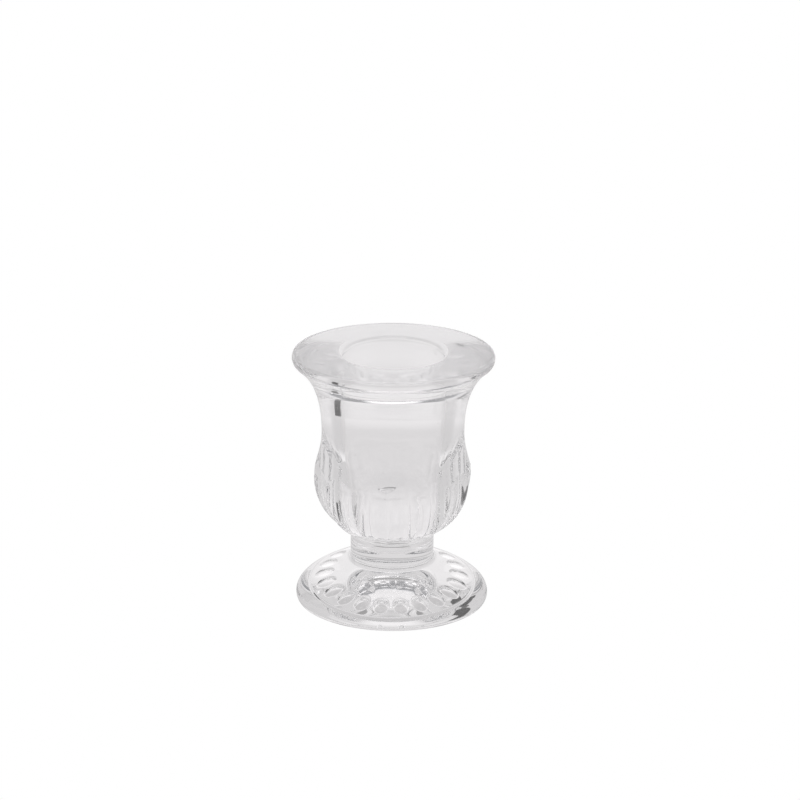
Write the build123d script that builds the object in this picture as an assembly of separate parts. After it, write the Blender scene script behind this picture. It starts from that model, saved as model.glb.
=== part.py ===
from build123d import *
import math
import os

# Pressed-glass candlestick for one household taper candle: a fluted urn-shaped cup on a short
# stem, bonded at the stem to a domed foot that is hollowed and dimpled underneath.
# Millimetres, +Z up, origin at the centre of the plane that the foot rests on.

# Overall heights
HEIGHT = 60.0
SEAM_Z = 14.2
COLLAR_Z = 16.2

# Stem and the bonded joint in it
STEM_R = 9.7
FILM_T = 0.12
STUB_EDGE = 0.1
FILM_R = STEM_R - STUB_EDGE - 0.05

# Foot, upper side
FOOT_R = 22.45
FOOT_WIDEST_Z = 1.4
DOME_TOP = (10.6, 9.6)
DOME_RISE_HANDLE = (FOOT_R, 4.9)
DOME_TOP_HANDLE = (14.6, 7.8)
STEM_FOOT_Z = 11.2

# Foot, underside
REST_OUTER_R = 21.9
REST_INNER_R = 20.8
RECESS_LIP = (20.4, 0.4)
RECESS_WALL_TOP_R = 17.4
RECESS_CORNER = 0.3
BOWL_R = RECESS_WALL_TOP_R - RECESS_CORNER
BOWL_EDGE_Z = 0.8
BOWL_TOP_Z = 3.2

# Ring of dimples pressed up into the bowl, each drawn out along the radius
DIMPLE_COUNT = 21
FIRST_DIMPLE_DEG = -82.0
DIMPLE_RING_R = 14.1
DIMPLE_HALF_WIDTH = 1.7
DIMPLE_STRETCH = 1.27
DIMPLE_DEPTH = 0.6

# Fluted bulb of the cup
BULB_R = 18.7
BULB_Z = 30.3
BULB_ARC_R = 15.54
FLUTE_COUNT = 14
FLUTE_DEPTH = 0.95
FLUTE_SECTION_R = 13.0
FLUTE_PATH_R = 15.98
FLUTE_RUN_OUT_Z = 40.0
FIRST_RIDGE_DEG = -95.0

# Waist and flared rim of the cup
WAIST_R = 16.5
WAIST_Z = 40.8
FLARE_END = (22.85, 57.6)
FLARE_END_HANDLE = (18.95, 54.6)
RIM_R = 23.35
RIM_Z = 58.85
RIM_EDGE = 0.9

# Candle socket
SOCKET_R = 11.5
SOCKET_FLOOR_Z = 18.5
SOCKET_CORNER_R = 1.5
MOUTH_EDGE = 1.8


def pt(radius, z):
    """Point of the meridian half-plane that is turned about +Z."""
    return Vector(radius, 0, z)


def curve(*corners):
    """Bezier edge through the first and last (radius, z) pair, steered by those between."""
    return Bezier(*[pt(radius, z) for radius, z in corners])


def quarter_turn(start, corner, end):
    """Rounded edge from start to end, tangent to both sides of the corner between them."""
    bulge = 0.5523
    first = [start[i] + bulge * (corner[i] - start[i]) for i in range(2)]
    second = [end[i] + bulge * (corner[i] - end[i]) for i in range(2)]
    return curve(start, first, second, end)


def turned(edges):
    """Solid of revolution about +Z from the closed chain of edges."""
    return revolve(make_face(edges), Axis.Z, 360)


def around(count, first_deg, tool):
    """Copies of the tool spaced evenly about +Z."""
    step = 360.0 / count
    return [Rot(0, 0, first_deg + step * i) * tool for i in range(count)]


def socket_edges():
    """Candle socket from the flat of the rim down to the centre of its floor."""
    corner_top = SOCKET_FLOOR_Z + SOCKET_CORNER_R
    mouth_r = SOCKET_R + MOUTH_EDGE
    mouth_z = HEIGHT - MOUTH_EDGE
    floor_edge = (SOCKET_R - SOCKET_CORNER_R, SOCKET_FLOOR_Z)
    return [
        quarter_turn((mouth_r, HEIGHT), (SOCKET_R, HEIGHT), (SOCKET_R, mouth_z)),
        Line(pt(SOCKET_R, mouth_z), pt(SOCKET_R, corner_top)),
        quarter_turn((SOCKET_R, corner_top), (SOCKET_R, SOCKET_FLOOR_Z), floor_edge),
        Line(pt(*floor_edge), pt(0, SOCKET_FLOOR_Z)),
    ]


def rim_edges():
    """Waist, flare and rounded rim, from the bulb's widest circle to the socket's mouth."""
    waist = (WAIST_R, WAIST_Z)
    rim_top = (RIM_R - RIM_EDGE, HEIGHT)
    return [
        curve((BULB_R, BULB_Z), (BULB_R, BULB_Z + 0.9), (WAIST_R, WAIST_Z - 4.6), waist),
        curve(waist, (WAIST_R, WAIST_Z + 8.7), FLARE_END_HANDLE, FLARE_END),
        curve(FLARE_END, (RIM_R - 0.1, FLARE_END[1] + 0.38), (RIM_R, RIM_Z - 0.4), (RIM_R, RIM_Z)),
        quarter_turn((RIM_R, RIM_Z), (RIM_R, HEIGHT), rim_top),
        Line(pt(*rim_top), pt(SOCKET_R + MOUTH_EDGE, HEIGHT)),
    ]


def bulb_blank():
    """Cup above the stem collar, before the flutes are cut."""
    centre_r = BULB_R - BULB_ARC_R
    drop = BULB_Z - COLLAR_Z
    collar_r = centre_r + math.sqrt(BULB_ARC_R**2 - drop**2)
    middle_angle = 0.5 * math.asin(drop / BULB_ARC_R)
    middle_r = centre_r + BULB_ARC_R * math.cos(middle_angle)
    middle_z = BULB_Z - BULB_ARC_R * math.sin(middle_angle)
    edges = [
        Line(pt(0, SOCKET_FLOOR_Z), pt(0, COLLAR_Z)),
        Line(pt(0, COLLAR_Z), pt(collar_r, COLLAR_Z)),
        ThreePointArc(pt(collar_r, COLLAR_Z), pt(middle_r, middle_z), pt(BULB_R, BULB_Z)),
    ]
    return turned(edges + rim_edges() + socket_edges())


def flute_cutter():
    """Round-nosed tool that follows the bulb's curve and runs out straight up above it."""
    nose_r = BULB_R - FLUTE_DEPTH
    section = Pos(nose_r + FLUTE_SECTION_R, 0, BULB_Z) * Circle(FLUTE_SECTION_R)
    path_axis = Axis((nose_r - FLUTE_PATH_R, 0, BULB_Z), (0, 1, 0))
    curved = revolve(section, path_axis, 75)
    straight = extrude(section, FLUTE_RUN_OUT_Z - BULB_Z)
    return curved + straight


def make_cup():
    """Rim, socket, fluted bulb and the upper stub of the stem."""
    half_pitch = 180.0 / FLUTE_COUNT
    bulb = bulb_blank()
    for cutter in around(FLUTE_COUNT, FIRST_RIDGE_DEG + half_pitch, flute_cutter()):
        bulb = bulb - cutter
    bottom = SEAM_Z + FILM_T / 2
    stub = Pos(0, 0, (bottom + COLLAR_Z) / 2) * Cylinder(STEM_R, COLLAR_Z - bottom)
    bond_edge = stub.edges().sort_by(Axis.Z).first
    stub = fillet(bond_edge, STUB_EDGE)
    return bulb + stub


def foot_blank():
    """Domed foot and the lower stub of the stem, before the dimples are cut."""
    top = SEAM_Z - FILM_T / 2
    stub_edge = (STEM_R - STUB_EDGE, top)
    rest_outer = (REST_OUTER_R, 0)
    rest_inner = (REST_INNER_R, 0)
    widest = (FOOT_R, FOOT_WIDEST_Z)
    wall_top = (RECESS_WALL_TOP_R, BOWL_EDGE_Z - RECESS_CORNER)
    bowl_edge = (BOWL_R, BOWL_EDGE_Z)
    stem_foot = (STEM_R, STEM_FOOT_Z)
    edges = [
        Line(pt(0, BOWL_TOP_Z), pt(0, top)),
        Line(pt(0, top), pt(*stub_edge)),
        quarter_turn(stub_edge, (STEM_R, top), (STEM_R, top - STUB_EDGE)),
        Line(pt(STEM_R, top - STUB_EDGE), pt(*stem_foot)),
        curve(stem_foot, (STEM_R, STEM_FOOT_Z - 0.75), (DOME_TOP[0] - 0.5, DOME_TOP[1] + 0.22), DOME_TOP),
        curve(DOME_TOP, DOME_TOP_HANDLE, DOME_RISE_HANDLE, widest),
        quarter_turn(widest, (FOOT_R, 0), rest_outer),
        Line(pt(*rest_outer), pt(*rest_inner)),
        quarter_turn(rest_inner, (RECESS_LIP[0], 0), RECESS_LIP),
        Line(pt(*RECESS_LIP), pt(*wall_top)),
        quarter_turn(wall_top, (RECESS_WALL_TOP_R, BOWL_EDGE_Z), bowl_edge),
        curve(bowl_edge, (BOWL_R / 2, BOWL_TOP_Z), (0, BOWL_TOP_Z)),
    ]
    return turned(edges)


def dimple_tool():
    """Ball drawn out along the radius and tilted to stand square on the bowl's parabola."""
    rise = BOWL_TOP_Z - BOWL_EDGE_Z
    bowl_z = BOWL_TOP_Z - rise * (DIMPLE_RING_R / BOWL_R) ** 2
    tilt = math.degrees(math.atan(2 * rise * DIMPLE_RING_R / BOWL_R**2))
    ball_r = (DIMPLE_HALF_WIDTH**2 + DIMPLE_DEPTH**2) / (2 * DIMPLE_DEPTH)
    ball = scale(Sphere(ball_r), by=(DIMPLE_STRETCH, 1, 1))
    return Pos(DIMPLE_RING_R, 0, bowl_z) * Rot(0, tilt, 0) * Pos(0, 0, DIMPLE_DEPTH - ball_r) * ball


def make_foot():
    """Foot with the ring of dimples pressed up into its bowl."""
    foot = foot_blank()
    for tool in around(DIMPLE_COUNT, FIRST_DIMPLE_DEG, dimple_tool()):
        foot = foot - tool
    return foot


def make_bond_film():
    """Thin disc of cured clear adhesive between the two stubs of the stem."""
    return Pos(0, 0, SEAM_Z) * Cylinder(FILM_R, FILM_T)


os.makedirs("parts", exist_ok=True)
export_step(make_cup(), "parts/candle_cup.step")
export_step(make_foot(), "parts/foot.step")
export_step(make_bond_film(), "parts/bond_film.step")
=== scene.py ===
import bpy
import math
import numpy as np
from mathutils import Matrix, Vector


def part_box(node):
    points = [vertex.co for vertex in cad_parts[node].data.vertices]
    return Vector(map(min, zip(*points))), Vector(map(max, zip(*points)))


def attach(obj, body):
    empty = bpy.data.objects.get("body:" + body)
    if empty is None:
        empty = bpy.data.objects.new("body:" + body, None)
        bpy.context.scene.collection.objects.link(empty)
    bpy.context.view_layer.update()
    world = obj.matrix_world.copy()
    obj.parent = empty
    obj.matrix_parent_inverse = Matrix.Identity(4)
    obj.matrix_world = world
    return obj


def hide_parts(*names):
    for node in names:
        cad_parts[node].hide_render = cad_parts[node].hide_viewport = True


# Looks of a pressed-glass candlestick: a fluted cup and a domed foot, bonded at the stem.
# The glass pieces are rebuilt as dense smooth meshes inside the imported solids' boxes.
# Lengths are in millimetres, and turn into metres where Blender takes them.
# A point of an outline is a pair: radius and z.

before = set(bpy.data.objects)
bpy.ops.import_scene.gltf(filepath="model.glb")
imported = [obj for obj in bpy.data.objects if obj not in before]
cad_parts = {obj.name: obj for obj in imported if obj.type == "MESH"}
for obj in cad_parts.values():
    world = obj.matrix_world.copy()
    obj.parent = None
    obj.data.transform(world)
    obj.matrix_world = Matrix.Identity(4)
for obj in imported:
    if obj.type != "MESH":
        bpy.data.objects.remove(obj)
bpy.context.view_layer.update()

MM = 0.001

# ---------------------------------------------------------------- driving dimensions

cup_low, cup_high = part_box("candle_cup")
_, foot_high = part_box("foot")
_, film_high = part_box("bond_film")

HEIGHT = cup_high.z / MM
CUP_BOTTOM = cup_low.z / MM
FOOT_TOP = foot_high.z / MM
RIM_R = cup_high.x / MM
FOOT_R = foot_high.x / MM
FILM_R = film_high.x / MM

# Stem and the bonded joint in it
STEM_R = 9.7
STUB_EDGE = 0.1
COLLAR_Z = 16.2
COLLAR_EDGE = 0.2
BOND_GAP = 0.004

# Foot, upper side: a dome that blends into the stem, with its Bezier handles
FOOT_WIDEST_Z = 1.4
DOME_RISE_HANDLE = (FOOT_R, 4.9)
DOME_TOP_HANDLE = (14.6, 7.8)
DOME_TOP = (10.6, 9.6)
BLEND_HANDLE = (DOME_TOP[0] - 0.5, DOME_TOP[1] + 0.22)
STEM_FOOT_Z = 11.2
STEM_FOOT_HANDLE = (STEM_R, STEM_FOOT_Z - 0.75)

# Foot, underside: a resting ring round a recess whose roof is a shallow bowl
REST_OUTER_R = 21.9
REST_INNER_R = 20.8
RECESS_LIP = (20.4, 0.4)
RECESS_WALL_TOP_R = 17.4
RECESS_CORNER = 0.3
BOWL_R = RECESS_WALL_TOP_R - RECESS_CORNER
BOWL_EDGE_Z = 0.8
BOWL_TOP_Z = 3.2

# Ring of dimples pressed up into the bowl, each drawn out along the radius
DIMPLE_COUNT = 21
FIRST_DIMPLE_DEG = -82.0
DIMPLE_RING_R = 14.1
DIMPLE_HALF_WIDTH = 1.7
DIMPLE_STRETCH = 1.27
DIMPLE_DEPTH = 0.6
DIMPLE_EDGE = 0.1

# Fluted bulb; the ridges between the flutes are rounded, and sharpen as the flutes run out
BULB_R = 18.7
BULB_Z = 30.3
BULB_ARC_R = 15.54
BULB_TOP_HANDLE = (BULB_R, BULB_Z + 0.9)
FLUTE_COUNT = 14
FLUTE_DEPTH = 0.95
FLUTE_SECTION_R = 13.0
FLUTE_PATH_R = 15.98
FIRST_RIDGE_DEG = -95.0
RIDGE_EDGE = 1.6
RUN_OUT_EDGE = 0.03
RUN_OUT_Z = (BULB_Z + 0.5, BULB_Z + 2.5)

# Waist, flare and rim, with their Bezier handles
WAIST = (16.5, 40.8)
WAIST_LOW_HANDLE = (WAIST[0], WAIST[1] - 4.6)
WAIST_HIGH_HANDLE = (WAIST[0], WAIST[1] + 8.7)
FLARE_END_HANDLE = (18.95, 54.6)
FLARE_END = (22.85, 57.6)
RIM_Z = 58.85
RIM_LOW_HANDLE = (RIM_R - 0.1, FLARE_END[1] + 0.38)
RIM_HANDLE = (RIM_R, RIM_Z - 0.4)
RIM_EDGE = 0.9

# Candle socket
SOCKET_R = 11.5
SOCKET_FLOOR_Z = 18.5
SOCKET_CORNER_R = 1.5
MOUTH_EDGE = 1.8

# Faint unevenness of the outside; a wave is (share, count round, radians per mm of z, phase)
MOULD_WAVES = ((0.5, 3.0, 0.21, 0.7), (0.3, 7.0, -0.34, 2.1), (0.2, 2.0, 0.83, 4.4))
CUP_RIPPLE = 0.025
CUP_RIPPLE_IN_Z = (COLLAR_Z, COLLAR_Z + 2.0)
CUP_RIPPLE_OUT_Z = (RIM_Z - 4.0, RIM_Z)
FOOT_RIPPLE = 0.03
FOOT_RIPPLE_IN_Z = (2.5, 4.0)
FOOT_RIPPLE_OUT_Z = (9.0, 10.5)

# ---------------------------------------------------------------- mesh detail
# A ring is a level loop of points round the axis, and a column is a line of points up the side.
# The bowl has few rings near the axis, and many from DENSE_REACH inside its dimples outwards.

CUP_COLUMNS = FLUTE_COUNT * 28
FOOT_COLUMNS = DIMPLE_COUNT * 24
FILM_COLUMNS = 128
BULB_RINGS = 64
BOWL_RINGS = (24, 64)
DENSE_REACH = 2.8
CENTRE_R = 0.6

# Rings of a bonded face, as shares of the film's radius, and how a face is known to be bonded
CAP_SHARES = (0.3, 0.6, 0.85, 1.0)
BOND_FACE_TOLERANCE = 0.001
FILM_FLAT_SHARE = 0.99

# Bisection for a flute's surface
SEARCH_IN_SHARE = 0.6
SEARCH_OUT = 3.0
SEARCH_HALVINGS = 40

# ---------------------------------------------------------------- glass
# The bonded faces don't bend light, so that the two stubs and the film read as one rod.

GLASS_IOR = 1.51
GLASS_TINT = (0.997, 0.994, 0.996)
ADHESIVE_IOR = 1.48
ADHESIVE_TINT = (0.98, 0.98, 0.97)
NO_IOR = 1.0
NO_TINT = (1.0, 1.0, 1.0)

# Light clouding of the rim's flat
HAZE_ROUGHNESS = 0.16
HAZE_WHITE = 0.22
HAZE_Z = (HEIGHT - 0.9, HEIGHT - 0.05)
HAZE_GRAIN_SCALE = 180.0
HAZE_GRAIN_DETAIL = 3.0
HAZE_GRAIN_SHARE = 0.3

# ---------------------------------------------------------------- studio
# Azimuth is 0 behind the object (+Y), 90 to its right (+X) and 180 at the camera's side.
# Elevation is 0 at the horizon and 90 overhead. Both are in degrees. Where a level changes
# gradually, a pair says where the change starts and where it is complete.

DEGREES = 180.0 / math.pi

# Below the horizon: levels of the floor, which the glowing floor also shows to the glass as
# painted light
FLOOR_LEVEL = 0.73
FLOOR_SIDE_LEVEL = 0.63
STEEP_FLOOR_LEVEL = 0.88
STEEP_EL = (-30.0, -42.0)
HORIZON_EL = (-16.0, -2.0)
WALL_LEVEL = 0.83
WALL_TOP_LEVEL = 0.92
WALL_TOP_EL = (15.0, 35.0)
SIDE_LEVEL = 0.66
BEHIND_AZ = (48.0, 14.0)
OVERHEAD_LEVEL = 1.4
OVERHEAD_EL = (44.0, 50.0)

# Dim gap between the wall and the light overhead, and the dim side behind the camera
GAP_LEVEL = 0.26
GAP_EL = (47.0, 73.0)
GAP_SOFT = 3.0
CAMERA_SIDE_LEVEL = 0.2
CAMERA_SIDE_AZ = (130.0, 155.0)
CAMERA_SIDE_EL = (8.0, 72.0)
CAMERA_SIDE_SOFT = 6.0

# Narrow dark flag at the back left
FLAG_LEVEL = 0.1
FLAG_AZ = (-65.0, -47.0)
FLAG_EL = (-3.0, 38.0)
FLAG_SOFT = 0.7

# Hue of the bright parts and of the dim ones
WARM = (1.0, 0.985, 0.992)
COOL = (0.93, 0.95, 1.0)

# Painted light on the floor near the object, seen only by the glass: painted contact shade where
# it meets the foot, a painted pool of light under it, and a painted shadow spot behind
FLOOR_HALF = 3000.0
FLOOR_DROP = 0.05
CONTACT_SHADE_SHARE = 0.8
CONTACT_SHADE_R = (25.0, 21.0)
LIGHT_POOL_LEVEL = 0.95
LIGHT_POOL_R = (21.0, 18.0)
LIGHT_POOL_X = (3.0, 7.0)
LIGHT_POOL_Y = (-5.0, 3.0)
SHADOW_LEVEL = 0.34
SHADOW_Y = 33.0
SHADOW_R = (8.5, 4.5)

# Low glowing board behind the object, painted shade that only the glass sees: its level low down
# and near its top, and where that changes
BOARD_HALF_WIDTH = 75.0
BOARD_Y = 100.0
BOARD_TOP = 34.0
SHADE_BOARD_LEVEL = (0.72, 0.84)
SHADE_BOARD_BLEND_Z = (12.0, 32.0)

# ---------------------------------------------------------------- camera

CAMERA_PLACE = (0.0, -640.0, 263.77)
CAMERA_PITCH_DEG = 18.603
CAMERA_YAW_DEG = -0.14
CAMERA_ROLL_DEG = 0.5
CAMERA_LENS = 131.9
CAMERA_SENSOR = 36.0
CAMERA_CLIP = (0.01, 20.0)


# ---------------------------------------------------------------- outline helpers

def curve(count, *corners):
    """Points along a Bezier curve in count steps, without the first one."""
    t = np.linspace(0.0, 1.0, count + 1)[1:, None]
    points = [np.tile(corner, (count, 1)) for corner in corners]
    while len(points) > 1:
        points = [a * (1.0 - t) + b * t for a, b in zip(points, points[1:])]
    return points[0]


def line(count, start, end):
    """Evenly spaced points from start to end, without the first one."""
    return curve(count, start, end)


def quarter_turn(count, start, corner, end):
    """Rounded edge from start to end, tangent to both sides of the corner between them."""
    bulge = 0.5523
    start, corner, end = np.array(start), np.array(corner), np.array(end)
    first = start + bulge * (corner - start)
    second = end + bulge * (corner - end)
    return curve(count, start, first, second, end)


def smooth_min(a, b, width):
    """The smaller of a and b, with the edge between them rounded over the given width."""
    mix = np.clip(0.5 + 0.5 * (b - a) / width, 0.0, 1.0)
    return b + (a - b) * mix - width * mix * (1.0 - mix)


def smooth_step(value, low, high):
    """0 below low, 1 above high, smooth between."""
    t = np.clip((value - low) / (high - low), 0.0, 1.0)
    return t * t * (3.0 - 2.0 * t)


# ---------------------------------------------------------------- mesh helpers

def column_angles(columns):
    """Angle of each column about +Z, from +X."""
    return np.linspace(0.0, 2.0 * math.pi, columns, endpoint=False)


def full_rings(outline, columns):
    """Radii and heights as (ring, column) arrays, of a plain turned outline."""
    outline = np.array(outline)
    radii = np.repeat(outline[:, :1], columns, axis=1)
    heights = np.repeat(outline[:, 1:], columns, axis=1)
    return radii, heights


def ring_mesh(name, radii, heights):
    """Closed mesh from (ring, column) arrays of radii and heights, capped at both ends."""
    ring_count, columns = radii.shape
    angles = column_angles(columns)
    grid = np.stack([radii * np.cos(angles), radii * np.sin(angles), heights], axis=-1)
    caps = [(0.0, 0.0, heights[0].mean()), (0.0, 0.0, heights[-1].mean())]
    points = np.vstack([grid.reshape(-1, 3), caps]) * MM
    here = np.arange(columns)
    there = (here + 1) % columns
    faces = []
    for ring in range(ring_count - 1):
        a, b = ring * columns, (ring + 1) * columns
        faces += np.stack([a + here, a + there, b + there, b + here], axis=1).tolist()
    end = (ring_count - 1) * columns
    first_cap, last_cap = np.full(columns, len(points) - 2), np.full(columns, len(points) - 1)
    faces += np.stack([first_cap, there, here], axis=1).tolist()
    faces += np.stack([end + here, end + there, last_cap], axis=1).tolist()
    mesh = bpy.data.meshes.new(name)
    mesh.from_pydata(points.tolist(), [], faces)
    mesh.validate()
    return mesh


def make_piece(mesh, node, materials, bonded):
    """Piece that stands for a CAD node; bonded(centre) says which faces touch glued ones."""
    obj = bpy.data.objects.new(mesh.name, mesh)
    bpy.context.scene.collection.objects.link(obj)
    for material in materials:
        mesh.materials.append(material)
    for face in mesh.polygons:
        face.use_smooth = True
        if bonded(face.center / MM):
            face.material_index = 1
    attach(obj, "root")
    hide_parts(node)


def mould_ripple(radii, heights, amount):
    """Radii with the faint unevenness that the mould leaves in the outside of the glass."""
    angles = column_angles(radii.shape[1])
    ripple = 0.0
    for share, around, climb, phase in MOULD_WAVES:
        ripple = ripple + share * np.sin(around * angles + climb * heights + phase)
    return radii + amount * ripple


# ---------------------------------------------------------------- cup

def flute_radius(z, outline_r, angle):
    """Radius of the round-nosed flute's surface at height z, by angle from its middle."""
    nose = BULB_R - FLUTE_DEPTH
    path_centre = nose - FLUTE_PATH_R
    path_r = FLUTE_PATH_R + FLUTE_SECTION_R
    low = np.full_like(angle, outline_r * SEARCH_IN_SHARE)
    high = np.full_like(angle, outline_r + SEARCH_OUT)
    for _ in range(SEARCH_HALVINGS):
        r = (low + high) / 2.0
        ahead, aside = r * np.cos(angle), r * np.sin(angle)
        reach = np.hypot(ahead - path_centre, min(z - BULB_Z, 0.0))
        inside = np.hypot(path_r - reach, aside) < FLUTE_SECTION_R
        high = np.where(inside, r, high)
        low = np.where(inside, low, r)
    return (low + high) / 2.0


def bulb_rings(columns):
    """Rings of the fluted bulb from the collar up to the waist."""
    centre_r = BULB_R - BULB_ARC_R
    collar_angle = math.asin((BULB_Z - COLLAR_Z) / BULB_ARC_R)
    turn = np.linspace(-collar_angle, 0.0, BULB_RINGS)
    arc_r = centre_r + BULB_ARC_R * np.cos(turn)
    arc_z = BULB_Z + BULB_ARC_R * np.sin(turn)
    lower = np.stack([arc_r, arc_z], axis=1)
    upper = curve(BULB_RINGS, (BULB_R, BULB_Z), BULB_TOP_HANDLE, WAIST_LOW_HANDLE, WAIST)
    outline = np.vstack([lower, upper])
    pitch = 2.0 * math.pi / FLUTE_COUNT
    from_ridge = (column_angles(columns) - math.radians(FIRST_RIDGE_DEG)) % pitch
    from_middle = from_ridge - pitch / 2.0
    radii, heights = full_rings(outline, columns)
    for i, (r, z) in enumerate(outline):
        edge = RIDGE_EDGE + (RUN_OUT_EDGE - RIDGE_EDGE) * smooth_step(z, *RUN_OUT_Z)
        radii[i] = smooth_min(radii[i], flute_radius(z, r, from_middle), edge)
    return radii, heights


def stub_outline():
    """Underside and side of the cup's stub, from the bonded face up to the collar."""
    bottom = CUP_BOTTOM
    side_low = (STEM_R, bottom + STUB_EDGE)
    side_high = (STEM_R, COLLAR_Z - COLLAR_EDGE)
    return np.vstack([
        [(FILM_R * share, bottom) for share in CAP_SHARES],
        quarter_turn(5, (STEM_R - STUB_EDGE, bottom), (STEM_R, bottom), side_low),
        line(6, side_low, side_high),
        quarter_turn(4, side_high, (STEM_R, COLLAR_Z), (STEM_R - COLLAR_EDGE, COLLAR_Z)),
    ])


def flare_outline():
    """Outside of the flare and the rounded rim, from the waist to the inner edge of the flat."""
    rim_top = (RIM_R - RIM_EDGE, HEIGHT)
    return np.vstack([
        curve(34, WAIST, WAIST_HIGH_HANDLE, FLARE_END_HANDLE, FLARE_END),
        curve(6, FLARE_END, RIM_LOW_HANDLE, RIM_HANDLE, (RIM_R, RIM_Z)),
        quarter_turn(8, (RIM_R, RIM_Z), (RIM_R, HEIGHT), rim_top),
        line(12, rim_top, (SOCKET_R + MOUTH_EDGE, HEIGHT)),
    ])


def socket_outline():
    """Mouth, wall, corner and floor of the candle socket."""
    corner_top = SOCKET_FLOOR_Z + SOCKET_CORNER_R
    floor_edge = (SOCKET_R - SOCKET_CORNER_R, SOCKET_FLOOR_Z)
    mouth_low = (SOCKET_R, HEIGHT - MOUTH_EDGE)
    return np.vstack([
        quarter_turn(10, (SOCKET_R + MOUTH_EDGE, HEIGHT), (SOCKET_R, HEIGHT), mouth_low),
        line(24, mouth_low, (SOCKET_R, corner_top)),
        quarter_turn(8, (SOCKET_R, corner_top), (SOCKET_R, SOCKET_FLOOR_Z), floor_edge),
        line(6, floor_edge, (CENTRE_R, SOCKET_FLOOR_Z)),
    ])


def cup_mesh(columns):
    """Stub, bulb, flare, rim and socket, in one closed mesh."""
    bulb_radii, bulb_heights = bulb_rings(columns)
    flare_radii, flare_heights = full_rings(flare_outline(), columns)
    outer_radii = np.vstack([bulb_radii, flare_radii])
    outer_heights = np.vstack([bulb_heights, flare_heights])
    free = smooth_step(outer_heights, *CUP_RIPPLE_IN_Z)
    free = free * (1.0 - smooth_step(outer_heights, *CUP_RIPPLE_OUT_Z))
    outer_radii = mould_ripple(outer_radii, outer_heights, CUP_RIPPLE * free)
    stub_radii, stub_heights = full_rings(stub_outline(), columns)
    socket_radii, socket_heights = full_rings(socket_outline(), columns)
    radii = np.vstack([stub_radii, outer_radii, socket_radii])
    heights = np.vstack([stub_heights, outer_heights, socket_heights])
    return ring_mesh("candle_cup_glass", radii, heights)


# ---------------------------------------------------------------- foot

def bowl_rings(columns):
    """Rings of the bowl under the foot, with the ring of dimples pressed up into it."""
    dense_r = DIMPLE_RING_R - DENSE_REACH
    inner = np.linspace(CENTRE_R, dense_r, BOWL_RINGS[0])
    outer = np.linspace(dense_r, BOWL_R, BOWL_RINGS[1])
    bowl_r = np.concatenate([inner, outer[1:]])
    bowl_z = BOWL_TOP_Z - (BOWL_TOP_Z - BOWL_EDGE_Z) * (bowl_r / BOWL_R) ** 2
    radii, heights = full_rings(np.stack([bowl_r, bowl_z], axis=1), columns)
    ball_r = (DIMPLE_HALF_WIDTH**2 + DIMPLE_DEPTH**2) / (2.0 * DIMPLE_DEPTH)
    pitch = 2.0 * math.pi / DIMPLE_COUNT
    from_first = column_angles(columns) - math.radians(FIRST_DIMPLE_DEG)
    from_middle = (from_first + pitch / 2.0) % pitch - pitch / 2.0
    ahead = (radii * np.cos(from_middle) - DIMPLE_RING_R) / DIMPLE_STRETCH
    aside = radii * np.sin(from_middle)
    reach = np.maximum(ball_r**2 - ahead**2 - aside**2, 0.0)
    rise = DIMPLE_DEPTH - ball_r + np.sqrt(reach)
    return radii, heights - smooth_min(0.0, -rise, DIMPLE_EDGE)


def foot_outline():
    """Recess wall, resting ring, dome and stub of the foot, from the bowl's edge to the bond."""
    top = FOOT_TOP
    wall_top = (RECESS_WALL_TOP_R, BOWL_EDGE_Z - RECESS_CORNER)
    rest_inner = (REST_INNER_R, 0.0)
    rest_outer = (REST_OUTER_R, 0.0)
    widest = (FOOT_R, FOOT_WIDEST_Z)
    stem_foot = (STEM_R, STEM_FOOT_Z)
    side_high = (STEM_R, top - STUB_EDGE)
    return np.vstack([
        quarter_turn(6, (BOWL_R, BOWL_EDGE_Z), (RECESS_WALL_TOP_R, BOWL_EDGE_Z), wall_top),
        line(8, wall_top, RECESS_LIP),
        quarter_turn(6, RECESS_LIP, (RECESS_LIP[0], 0.0), rest_inner),
        line(4, rest_inner, rest_outer),
        quarter_turn(10, rest_outer, (FOOT_R, 0.0), widest),
        curve(48, widest, DOME_RISE_HANDLE, DOME_TOP_HANDLE, DOME_TOP),
        curve(10, DOME_TOP, BLEND_HANDLE, STEM_FOOT_HANDLE, stem_foot),
        line(8, stem_foot, side_high),
        quarter_turn(5, side_high, (STEM_R, top), (STEM_R - STUB_EDGE, top)),
        [(FILM_R * share, top) for share in reversed(CAP_SHARES)],
    ])


def foot_mesh(columns):
    """Dimpled bowl, recess, dome and stub, in one closed mesh."""
    bowl_radii, bowl_heights = bowl_rings(columns)
    outer_radii, outer_heights = full_rings(foot_outline(), columns)
    free = smooth_step(outer_heights, *FOOT_RIPPLE_IN_Z)
    free = free * (1.0 - smooth_step(outer_heights, *FOOT_RIPPLE_OUT_Z))
    outer_radii = mould_ripple(outer_radii, outer_heights, FOOT_RIPPLE * free)
    radii = np.vstack([bowl_radii, outer_radii])
    heights = np.vstack([bowl_heights, outer_heights])
    return ring_mesh("foot_glass", radii, heights)


def film_mesh(columns):
    """Disc of adhesive, a hair clear of the glass on either side."""
    low = FOOT_TOP + BOND_GAP
    high = CUP_BOTTOM - BOND_GAP
    outline = [(FILM_R * share, low) for share in CAP_SHARES]
    outline += [(FILM_R * share, high) for share in reversed(CAP_SHARES)]
    radii, heights = full_rings(outline, columns)
    return ring_mesh("bond_film_clear", radii, heights)


# ---------------------------------------------------------------- shader maths

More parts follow.
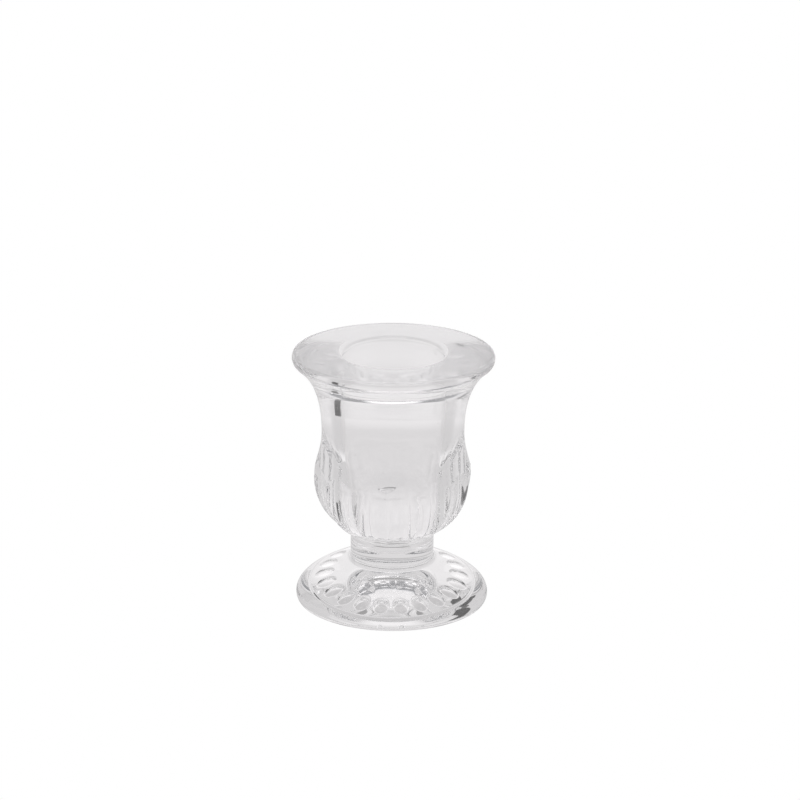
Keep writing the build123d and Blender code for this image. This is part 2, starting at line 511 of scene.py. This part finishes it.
class Maths:
    """Short-hand for chains of math nodes in one node tree."""

    def __init__(self, tree):
        self.tree = tree

    def do(self, operation, a, b=0.0, c=0.0):
        """Result of one math node on numbers or other nodes' outputs."""
        node = self.tree.nodes.new("ShaderNodeMath")
        node.operation = operation
        for socket, value in zip(node.inputs, (a, b, c)):
            if isinstance(value, (int, float)):
                socket.default_value = value
            else:
                self.tree.links.new(value, socket)
        return node.outputs[0]

    def step(self, value, low, high):
        """0 below low, 1 above high, smooth between; the other way round if low is above high."""
        node = self.tree.nodes.new("ShaderNodeMapRange")
        node.interpolation_type = "SMOOTHSTEP"
        self.tree.links.new(value, node.inputs["Value"])
        node.inputs["From Min"].default_value = min(low, high)
        node.inputs["From Max"].default_value = max(low, high)
        node.inputs["To Min"].default_value = 0.0 if low < high else 1.0
        node.inputs["To Max"].default_value = 1.0 if low < high else 0.0
        return node.outputs["Result"]

    def band(self, value, low, high, soft):
        """1 between low and high, 0 outside, smooth over soft on either side of both."""
        up = self.step(value, low - soft, low + soft)
        down = self.step(value, high + soft, high - soft)
        return self.do("MULTIPLY", up, down)

    def length(self, x, y):
        """Length of the level vector x, y."""
        squares = self.do("ADD", self.do("MULTIPLY", x, x), self.do("MULTIPLY", y, y))
        return self.do("SQRT", squares)

    def axes(self, vector):
        """X, Y and Z of the vector."""
        node = self.tree.nodes.new("ShaderNodeSeparateXYZ")
        self.tree.links.new(vector, node.inputs[0])
        return node.outputs

    def mix(self, share, a, b):
        """a where share is 0, b where it is 1."""
        rest = self.do("SUBTRACT", 1.0, share)
        return self.do("ADD", self.do("MULTIPLY", rest, a), self.do("MULTIPLY", share, b))

    def noise(self, vector, scale, detail):
        """Cloudy noise between 0 and 1."""
        node = self.tree.nodes.new("ShaderNodeTexNoise")
        node.inputs["Scale"].default_value = scale
        node.inputs["Detail"].default_value = detail
        self.tree.links.new(vector, node.inputs["Vector"])
        return node.outputs["Fac"]


# ---------------------------------------------------------------- materials

def glass_material(name, ior, tint):
    """Clear, smooth material that bends light by the given index."""
    material = bpy.data.materials.new(name)
    material.use_nodes = True
    shader = material.node_tree.nodes["Principled BSDF"]
    shader.inputs["Base Color"].default_value = (*tint, 1.0)
    shader.inputs["Roughness"].default_value = 0.0
    shader.inputs["IOR"].default_value = ior
    shader.inputs["Transmission Weight"].default_value = 1.0
    return material


def cloud_top(material):
    """Clouds the flat of the rim a little, unevenly: some roughness and a small white share."""
    tree = material.node_tree
    shader = tree.nodes["Principled BSDF"]
    m = Maths(tree)
    coords = tree.nodes.new("ShaderNodeTexCoord").outputs["Object"]
    top = m.step(m.axes(coords)[2], HAZE_Z[0] * MM, HAZE_Z[1] * MM)
    grain = m.noise(coords, HAZE_GRAIN_SCALE, HAZE_GRAIN_DETAIL)
    uneven = m.do("MULTIPLY_ADD", grain, HAZE_GRAIN_SHARE, 1.0 - HAZE_GRAIN_SHARE / 2.0)
    cloud = m.do("MULTIPLY", top, uneven)
    clear_share = m.do("MULTIPLY_ADD", cloud, -HAZE_WHITE, 1.0)
    tree.links.new(m.do("MULTIPLY", cloud, HAZE_ROUGHNESS), shader.inputs["Roughness"])
    tree.links.new(clear_share, shader.inputs["Transmission Weight"])


# ---------------------------------------------------------------- studio parts

def surroundings(m, direction):
    """Colour of the studio, floor included, along a ray's direction; white to the camera."""
    x, y, z = m.axes(direction)
    azimuth = m.do("MULTIPLY", m.do("ARCTAN2", x, y), DEGREES)
    elevation = m.do("MULTIPLY", m.do("ARCSINE", z), DEGREES)
    aside = m.do("ABSOLUTE", azimuth)
    behind = m.step(aside, *BEHIND_AZ)
    back_wall = m.mix(m.step(elevation, *WALL_TOP_EL), WALL_LEVEL, WALL_TOP_LEVEL)
    wall = m.mix(behind, SIDE_LEVEL, back_wall)
    ground = m.mix(behind, FLOOR_SIDE_LEVEL, FLOOR_LEVEL)
    ground = m.mix(m.step(elevation, *STEEP_EL), ground, STEEP_FLOOR_LEVEL)
    level = m.mix(m.step(elevation, *HORIZON_EL), ground, wall)
    level = m.mix(m.step(elevation, *OVERHEAD_EL), level, OVERHEAD_LEVEL)
    gap = m.band(elevation, *GAP_EL, GAP_SOFT)
    level = m.mix(gap, level, GAP_LEVEL)
    camera_height = m.band(elevation, *CAMERA_SIDE_EL, CAMERA_SIDE_SOFT)
    camera_side = m.do("MULTIPLY", m.step(aside, *CAMERA_SIDE_AZ), camera_height)
    level = m.mix(camera_side, level, CAMERA_SIDE_LEVEL)
    dim = m.do("MAXIMUM", camera_side, gap)
    flag_width = m.band(azimuth, *FLAG_AZ, FLAG_SOFT)
    flag = m.do("MULTIPLY", flag_width, m.band(elevation, *FLAG_EL, FLAG_SOFT))
    level = m.mix(flag, level, FLAG_LEVEL)
    white = m.tree.nodes.new("ShaderNodeLightPath").outputs["Is Camera Ray"]
    colour = m.tree.nodes.new("ShaderNodeCombineXYZ")
    for axis, warm, cool in zip("XYZ", WARM, COOL):
        channel = m.do("MULTIPLY", level, m.mix(dim, warm, cool))
        m.tree.links.new(m.do("MAXIMUM", channel, white), colour.inputs[axis])
    return colour.outputs[0]


def floor_material():
    """Pale floor: plain white to the camera; to the glass it glows at the surroundings' floor
    levels as painted light, with painted contact shade where it meets the foot, a painted pool of
    light under the foot and a painted shadow spot behind.
    """
    material = bpy.data.materials.new("pale_floor")
    material.use_nodes = True
    tree = material.node_tree
    tree.nodes.clear()
    ahead = tree.nodes.new("ShaderNodeVectorMath")
    ahead.operation = "SCALE"
    ahead.inputs["Scale"].default_value = -1.0
    tree.links.new(tree.nodes.new("ShaderNodeNewGeometry").outputs["Incoming"], ahead.inputs[0])
    m = Maths(tree)
    x, y, _ = m.axes(tree.nodes.new("ShaderNodeTexCoord").outputs["Object"])
    x, y = m.do("DIVIDE", x, MM), m.do("DIVIDE", y, MM)
    away = m.length(x, y)
    # Painted contact shade: the floor's glow darker where it meets the foot
    contact_shade = m.mix(m.step(away, *CONTACT_SHADE_R), 1.0, CONTACT_SHADE_SHARE)
    # Painted pool of light: the floor's glow brighter under the foot
    under = m.do("MULTIPLY", m.step(away, *LIGHT_POOL_R), m.step(y, *LIGHT_POOL_Y))
    under = m.do("MULTIPLY", under, m.step(m.do("ABSOLUTE", x), *LIGHT_POOL_X))
    level = m.mix(under, contact_shade, LIGHT_POOL_LEVEL / FLOOR_LEVEL)
    # Painted shadow spot: the floor's glow darker behind the foot
    from_shadow = m.length(x, m.do("SUBTRACT", y, SHADOW_Y))
    shadow = m.step(from_shadow, *SHADOW_R)
    level = m.mix(shadow, level, SHADOW_LEVEL / FLOOR_LEVEL)
    white = tree.nodes.new("ShaderNodeLightPath").outputs["Is Camera Ray"]
    glow = tree.nodes.new("ShaderNodeEmission")
    out = tree.nodes.new("ShaderNodeOutputMaterial")
    tree.links.new(surroundings(m, ahead.outputs["Vector"]), glow.inputs["Color"])
    tree.links.new(m.do("MAXIMUM", level, white), glow.inputs["Strength"])
    tree.links.new(glow.outputs[0], out.inputs["Surface"])
    return material


def make_painted_shade_board():
    """Low glowing board behind the object that only the glass sees: painted shade, dimmer low
    down and brightening towards its top.
    """
    material = bpy.data.materials.new("painted_shade_board")
    material.use_nodes = True
    tree = material.node_tree
    tree.nodes.clear()
    m = Maths(tree)
    _, _, z = m.axes(tree.nodes.new("ShaderNodeTexCoord").outputs["Object"])
    # Painted shade: the board glows dimmer low down and brighter towards its top
    blend = m.step(z, SHADE_BOARD_BLEND_Z[0] * MM, SHADE_BOARD_BLEND_Z[1] * MM)
    glow = tree.nodes.new("ShaderNodeEmission")
    out = tree.nodes.new("ShaderNodeOutputMaterial")
    glow.inputs["Color"].default_value = (*WARM, 1.0)
    tree.links.new(m.mix(blend, *SHADE_BOARD_LEVEL), glow.inputs["Strength"])
    tree.links.new(glow.outputs[0], out.inputs["Surface"])
    half, y, top = BOARD_HALF_WIDTH * MM, BOARD_Y * MM, BOARD_TOP * MM
    corners = [(-half, y, 0.0), (half, y, 0.0), (half, y, top), (-half, y, top)]
    mesh = bpy.data.meshes.new("painted_shade_board")
    mesh.from_pydata(corners, [], [(0, 1, 2, 3)])
    mesh.materials.append(material)
    board = bpy.data.objects.new("painted_shade_board", mesh)
    board.visible_camera = False
    bpy.context.scene.collection.objects.link(board)


def studio_world():
    """Soft white surroundings; the camera itself sees plain white."""
    world = bpy.data.worlds.new("studio")
    bpy.context.scene.world = world
    world.use_nodes = True
    tree = world.node_tree
    tree.nodes.clear()
    coords = tree.nodes.new("ShaderNodeTexCoord")
    background = tree.nodes.new("ShaderNodeBackground")
    out = tree.nodes.new("ShaderNodeOutputWorld")
    colour = surroundings(Maths(tree), coords.outputs["Generated"])
    tree.links.new(colour, background.inputs["Color"])
    tree.links.new(background.outputs[0], out.inputs["Surface"])


def make_floor():
    """Level floor, a hair below the foot."""
    half = FLOOR_HALF * MM
    mesh = bpy.data.meshes.new("floor")
    corners = [(-half, -half, 0.0), (half, -half, 0.0), (half, half, 0.0), (-half, half, 0.0)]
    mesh.from_pydata(corners, [], [(0, 1, 2, 3)])
    mesh.materials.append(floor_material())
    floor = bpy.data.objects.new("floor", mesh)
    floor.location.z = -FLOOR_DROP * MM
    bpy.context.scene.collection.objects.link(floor)


def make_camera():
    """Camera in front of the object and above it, looking down at it."""
    data = bpy.data.cameras.new("camera")
    data.sensor_width = CAMERA_SENSOR
    data.lens = CAMERA_LENS
    data.clip_start, data.clip_end = CAMERA_CLIP
    camera = bpy.data.objects.new("camera", data)
    bpy.context.scene.collection.objects.link(camera)
    yaw = Matrix.Rotation(math.radians(CAMERA_YAW_DEG), 4, "Z")
    tilt = Matrix.Rotation(math.pi / 2.0 - math.radians(CAMERA_PITCH_DEG), 4, "X")
    roll = Matrix.Rotation(math.radians(CAMERA_ROLL_DEG), 4, "Z")
    place = Matrix.Translation([length * MM for length in CAMERA_PLACE])
    camera.matrix_world = place @ (yaw @ tilt @ roll)
    bpy.context.scene.camera = camera


def set_rendering():
    """Plain colours, and light paths long enough for thick glass."""
    scene = bpy.context.scene
    scene.view_settings.view_transform = "Standard"
    scene.cycles.max_bounces = 40
    scene.cycles.transmission_bounces = 40
    scene.cycles.glossy_bounces = 20
    scene.cycles.diffuse_bounces = 3
    scene.cycles.blur_glossy = 0.0
    scene.cycles.sample_clamp_indirect = 4.0
    scene.cycles.use_denoising = True


# ---------------------------------------------------------------- put together

clear = glass_material("clear_glass", GLASS_IOR, GLASS_TINT)
cloud_top(clear)
bonded_face = glass_material("bonded_face", NO_IOR, NO_TINT)
adhesive = glass_material("clear_adhesive", ADHESIVE_IOR, ADHESIVE_TINT)


def on_cup_bond(centre):
    return centre.z < CUP_BOTTOM + BOND_FACE_TOLERANCE and math.hypot(centre.x, centre.y) < FILM_R


def on_foot_bond(centre):
    return centre.z > FOOT_TOP - BOND_FACE_TOLERANCE and math.hypot(centre.x, centre.y) < FILM_R


def on_film_flat(centre):
    return math.hypot(centre.x, centre.y) < FILM_R * FILM_FLAT_SHARE


cup = cup_mesh(CUP_COLUMNS)
foot = foot_mesh(FOOT_COLUMNS)
film = film_mesh(FILM_COLUMNS)
make_piece(cup, "candle_cup", [clear, bonded_face], on_cup_bond)
make_piece(foot, "foot", [clear, bonded_face], on_foot_bond)
make_piece(film, "bond_film", [adhesive, bonded_face], on_film_flat)

make_floor()
make_painted_shade_board()
studio_world()
make_camera()
set_rendering()
